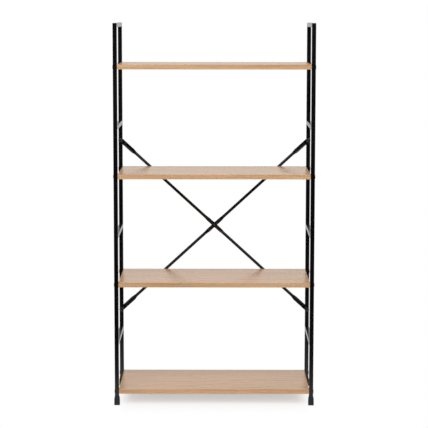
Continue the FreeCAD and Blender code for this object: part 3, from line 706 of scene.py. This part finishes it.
def boot(x, y):
    """One boot under an upright at a place on the floor, open at its top down to the sole."""
    shape = shaped_bar(boot_stations(), BOOT_RING, boot_point)
    mouth = face_towards(shape, UP)
    bmesh.ops.inset_region(shape, faces=[mouth], thickness=(COLLAR_WALL - COLLAR_LIP) * MM)
    grow(shape, mouth, (0, 0, SOLE * MM - boot_high.z))
    bmesh.ops.translate(shape, vec=(x, y, 0), verts=shape.verts)
    return shape


for side_name, side in SIDES:
    for end_name in ENDS:
        name = f"{side_name}_{end_name}_foot"
        piece(f"{name}_moulded", boot(side * UPRIGHT_X, UPRIGHT_Y[end_name]),
              boot_plastic, "black_plastic", name)

# ---------------------------------------------------------------- weld beads, millimetres

BEAD_LEG, BEAD_HALF, BEAD_RIPPLE, BEAD_STEPS = 1.5, 6.2, 1.6, 24
BEAD_SWELL = 0.12  # how far a ripple stands out, as a share of the leg
BEAD_FACE = 0.42  # how far the hollow face stands out of the corner, as a share of the leg
BEAD_END, BEAD_BLUNTNESS = 0.25, 8  # what is left of the leg at an end, and how late it thins


def bead_point(station, index):
    """A point of a rippled fillet bead that lies in the corner of two faces."""
    swell = 1 + BEAD_SWELL * math.cos(math.tau * station / BEAD_RIPPLE)
    full = math.sqrt(max(1 - (station / BEAD_HALF) ** BEAD_BLUNTNESS, 0))
    leg = BEAD_LEG * swell * (BEAD_END + (1 - BEAD_END) * full)
    corner = ((0, 0), (leg, 0), (BEAD_FACE * leg, BEAD_FACE * leg), (0, leg))[index]
    return Vector((station, *corner)) * MM


def bead(middle, along_rung, away):
    """A bead along X at a place, with its legs along the rung and away from it."""
    stations = [BEAD_HALF * (2 * step / BEAD_STEPS - 1) for step in range(BEAD_STEPS + 1)]
    shape = shaped_bar(stations, 4, bead_point)
    for vert in shape.verts:
        vert.co.y *= along_rung
        vert.co.z *= away
    bmesh.ops.recalc_face_normals(shape, faces=shape.faces)
    bmesh.ops.translate(shape, vec=middle, verts=shape.verts)
    return shape


def frame_corners(side_name):
    """Each welded corner of a side frame: its Y and Z, and which way it opens along each."""
    rungs = [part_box(f"{side_name}_{rung_name}_rung") for rung_name in RUNGS]
    corners = [(y, low.z if away < 0 else high.z, along_rung, away) for low, high in rungs
               for y, along_rung in ((low.y, 1), (high.y, -1)) for away in (-1, 1)]
    low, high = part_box(f"{side_name}_top_bar")
    return corners + [(low.y + TUBE, low.z, 1, -1), (high.y - TUBE, low.z, -1, -1)]


for side_name, side in SIDES:
    beads = joined(bead(Vector((side * UPRIGHT_X, y, z)), along_rung, away)
                   for y, z, along_rung, away in frame_corners(side_name))
    piece(f"{side_name}_frame_weld_beads", beads, coat, "black_powder_coat", crease=60)

# ---------------------------------------------------------------- floor, metres

FLOOR_SIZE = 120
SHADOW_SHARE = 0.5  # how much of the lit paper shows under the unit, the rest being plain white
FADE_ACROSS = (0.32, 0.4)  # distances from the middle between which the paper turns plain white
FADE_ALONG = (0.01, 0.36)
DARK_FROM, DARK_TO = -0.2, -0.95  # depths between which the gloss meets the unlit studio floor


def seen_directly(tree):
    """1 where the eye, a gloss or a glass looks at the surface, and 0 for the light it gives."""
    path = add(tree, "ShaderNodeLightPath")
    shiny = add(tree, "ShaderNodeMath", {0: path.outputs["Is Glossy Ray"],
                                         1: path.outputs["Is Transmission Ray"]},
                operation="MAXIMUM")
    return add(tree, "ShaderNodeMath", {0: path.outputs["Is Camera Ray"], 1: shiny.outputs[0]},
               operation="MAXIMUM").outputs[0]


def floor_paper():
    """White background paper: it keeps the unit's shadow, and further out it is plain white.

    The gloss of the unit's front faces finds the unlit studio floor in front of the paper.
    """
    material, tree = new_material("white_background_paper")
    place = add(tree, "ShaderNodeTexCoord").outputs["Object"]
    spread = add(tree, "ShaderNodeVectorMath", {0: place}, operation="ABSOLUTE")
    off = add(tree, "ShaderNodeSeparateXYZ", {0: spread.outputs[0]})
    across = add(tree, "ShaderNodeMapRange",
                 {"Value": off.outputs["X"], "From Min": FADE_ACROSS[0],
                  "From Max": FADE_ACROSS[1], "To Min": 1, "To Max": 0},
                 interpolation_type="SMOOTHSTEP")
    along = add(tree, "ShaderNodeMapRange",
                {"Value": off.outputs["Y"], "From Min": FADE_ALONG[0],
                 "From Max": FADE_ALONG[1], "To Min": SHADOW_SHARE, "To Max": 0},
                interpolation_type="SMOOTHSTEP")
    lit = add(tree, "ShaderNodeMath", {0: across.outputs[0], 1: along.outputs[0]},
              operation="MULTIPLY")
    plain = add(tree, "ShaderNodeMath", {0: 1.0, 1: lit.outputs[0]}, operation="SUBTRACT")
    share = add(tree, "ShaderNodeMath", {0: plain.outputs[0], 1: seen_directly(tree)},
                operation="MULTIPLY")
    paper = add(tree, "ShaderNodeBsdfDiffuse", {"Color": linear("#f8f8f8")})
    white = add(tree, "ShaderNodeEmission", {"Color": linear("#ffffff"), "Strength": 1.0})
    shown = add(tree, "ShaderNodeMixShader", {0: share.outputs[0], 1: paper.outputs[0],
                                              2: white.outputs[0]})
    depth = add(tree, "ShaderNodeSeparateXYZ", {0: place})
    in_front = add(tree, "ShaderNodeMapRange",
                   {"Value": depth.outputs["Y"], "From Min": DARK_FROM, "From Max": DARK_TO,
                    "To Min": 0, "To Max": 1}, interpolation_type="SMOOTHSTEP")
    path = add(tree, "ShaderNodeLightPath")
    unlit = add(tree, "ShaderNodeMath", {0: in_front.outputs[0],
                                         1: path.outputs["Is Glossy Ray"]}, operation="MULTIPLY")
    dark = add(tree, "ShaderNodeBsdfDiffuse", {"Color": linear("#0c0c0c")})
    shader = add(tree, "ShaderNodeMixShader", {0: unlit.outputs[0], 1: shown.outputs[0],
                                               2: dark.outputs[0]})
    add(tree, "ShaderNodeOutputMaterial", {"Surface": shader.outputs[0]})
    return material


floor_shape = bmesh.new()
bmesh.ops.create_grid(floor_shape, x_segments=8, y_segments=8, size=FLOOR_SIZE / 2)
floor = new_object("floor", mesh_of("floor", floor_shape))
floor.data.materials.append(floor_paper())

# ---------------------------------------------------------------- light and camera, metres

ROOM_LIGHT = 0.5  # strength of the even light from all round
DARK_ROOM = 0.02  # how bright the room in front of the unit shows in its gloss
DIM_CEILING = 0.22  # how bright the room above the backdrop shows in it
BACKDROP_FROM, BACKDROP_TO = -0.55, 0.35  # a mirrored ray's Y where dark turns to backdrop
CEILING_FROM, CEILING_TO = 0.1, 0.45  # a mirrored ray's Z where backdrop turns to ceiling
AIM = Vector((0, 0, 0.75))  # about the middle of the unit, which the lamps look at


def studio_world():
    """A studio that the eye sees as plain white and that lights the unit evenly.

    The unit's gloss mirrors a white backdrop behind it, a dim ceiling and a dark room in front.
    """
    world = bpy.data.worlds.new("studio")
    world.use_nodes = True
    sky = world.node_tree
    sky.nodes.clear()
    path = add(sky, "ShaderNodeLightPath")
    direction = add(sky, "ShaderNodeSeparateXYZ",
                    {0: add(sky, "ShaderNodeTexCoord").outputs["Generated"]})
    fall_off = add(sky, "ShaderNodeMapRange",
                   {"Value": direction.outputs["Z"], "From Min": CEILING_FROM,
                    "From Max": CEILING_TO, "To Min": 1, "To Max": DIM_CEILING},
                   interpolation_type="SMOOTHSTEP")
    backdrop = add(sky, "ShaderNodeMapRange",
                   {"Value": direction.outputs["Y"], "From Min": BACKDROP_FROM,
                    "From Max": BACKDROP_TO, "To Min": DARK_ROOM, "To Max": fall_off.outputs[0]},
                   interpolation_type="SMOOTHSTEP")
    mirrored = add(sky, "ShaderNodeBackground", {"Color": linear("#ffffff"),
                                                 "Strength": backdrop.outputs[0]})
    plain = add(sky, "ShaderNodeBackground", {"Color": linear("#ffffff"), "Strength": 1.0})
    room = add(sky, "ShaderNodeBackground", {"Color": linear("#ffffff"), "Strength": ROOM_LIGHT})
    shine = add(sky, "ShaderNodeMixShader", {0: path.outputs["Is Glossy Ray"],
                                             1: room.outputs[0], 2: mirrored.outputs[0]})
    glass = add(sky, "ShaderNodeMixShader", {0: path.outputs["Is Transmission Ray"],
                                             1: shine.outputs[0], 2: plain.outputs[0]})
    seen = add(sky, "ShaderNodeMixShader", {0: path.outputs["Is Camera Ray"],
                                            1: glass.outputs[0], 2: plain.outputs[0]})
    add(sky, "ShaderNodeOutputWorld", {"Surface": seen.outputs[0]})
    return world


def softbox(name, azimuth, elevation, distance, size, watts):
    """A square soft lamp that looks at the unit, with angles in degrees and azimuth 0 in front."""
    around, up = math.radians(azimuth), math.radians(elevation)
    back = Vector((math.sin(around) * math.cos(up), -math.cos(around) * math.cos(up),
                   math.sin(up)))
    lamp = bpy.data.lights.new(name, "AREA")
    lamp.shape = "SQUARE"
    lamp.size = size
    lamp.energy = watts
    made = new_object(name, lamp)
    made.location = AIM + back * distance
    made.rotation_mode = "QUATERNION"
    made.rotation_quaternion = back.to_track_quat("Z", "Y")


bpy.context.scene.world = studio_world()
softbox("left_softbox", azimuth=-38, elevation=32, distance=5.0, size=3.0, watts=43)
softbox("right_softbox", azimuth=38, elevation=32, distance=5.0, size=3.0, watts=46)
softbox("front_softbox", azimuth=0, elevation=40, distance=5.5, size=3.2, watts=118)

CAMERA_ASIDE, CAMERA_HEIGHT = 0.01277, 1.5134
CAMERA_DISTANCE = 6.1682  # from the front faces of the uprights
PITCH, YAW, ROLL = (math.radians(angle) for angle in (7.0659, 0.1243, 0.0496))
SENSOR, LENS = 36, 136.51  # millimetres

camera_data = bpy.data.cameras.new("camera")
camera_data.sensor_width = SENSOR
camera_data.lens = LENS
camera_data.clip_end = 2 * FLOOR_SIZE
camera = new_object("camera", camera_data)
camera.matrix_world = (Matrix.Translation((CAMERA_ASIDE, front_low.y - CAMERA_DISTANCE,
                                           CAMERA_HEIGHT))
                       @ Matrix.Rotation(YAW, 4, "Z")
                       @ Matrix.Rotation(math.pi / 2 - PITCH, 4, "X")
                       @ Matrix.Rotation(ROLL, 4, "Z"))
bpy.context.scene.camera = camera
bpy.context.scene.view_settings.view_transform = "Standard"
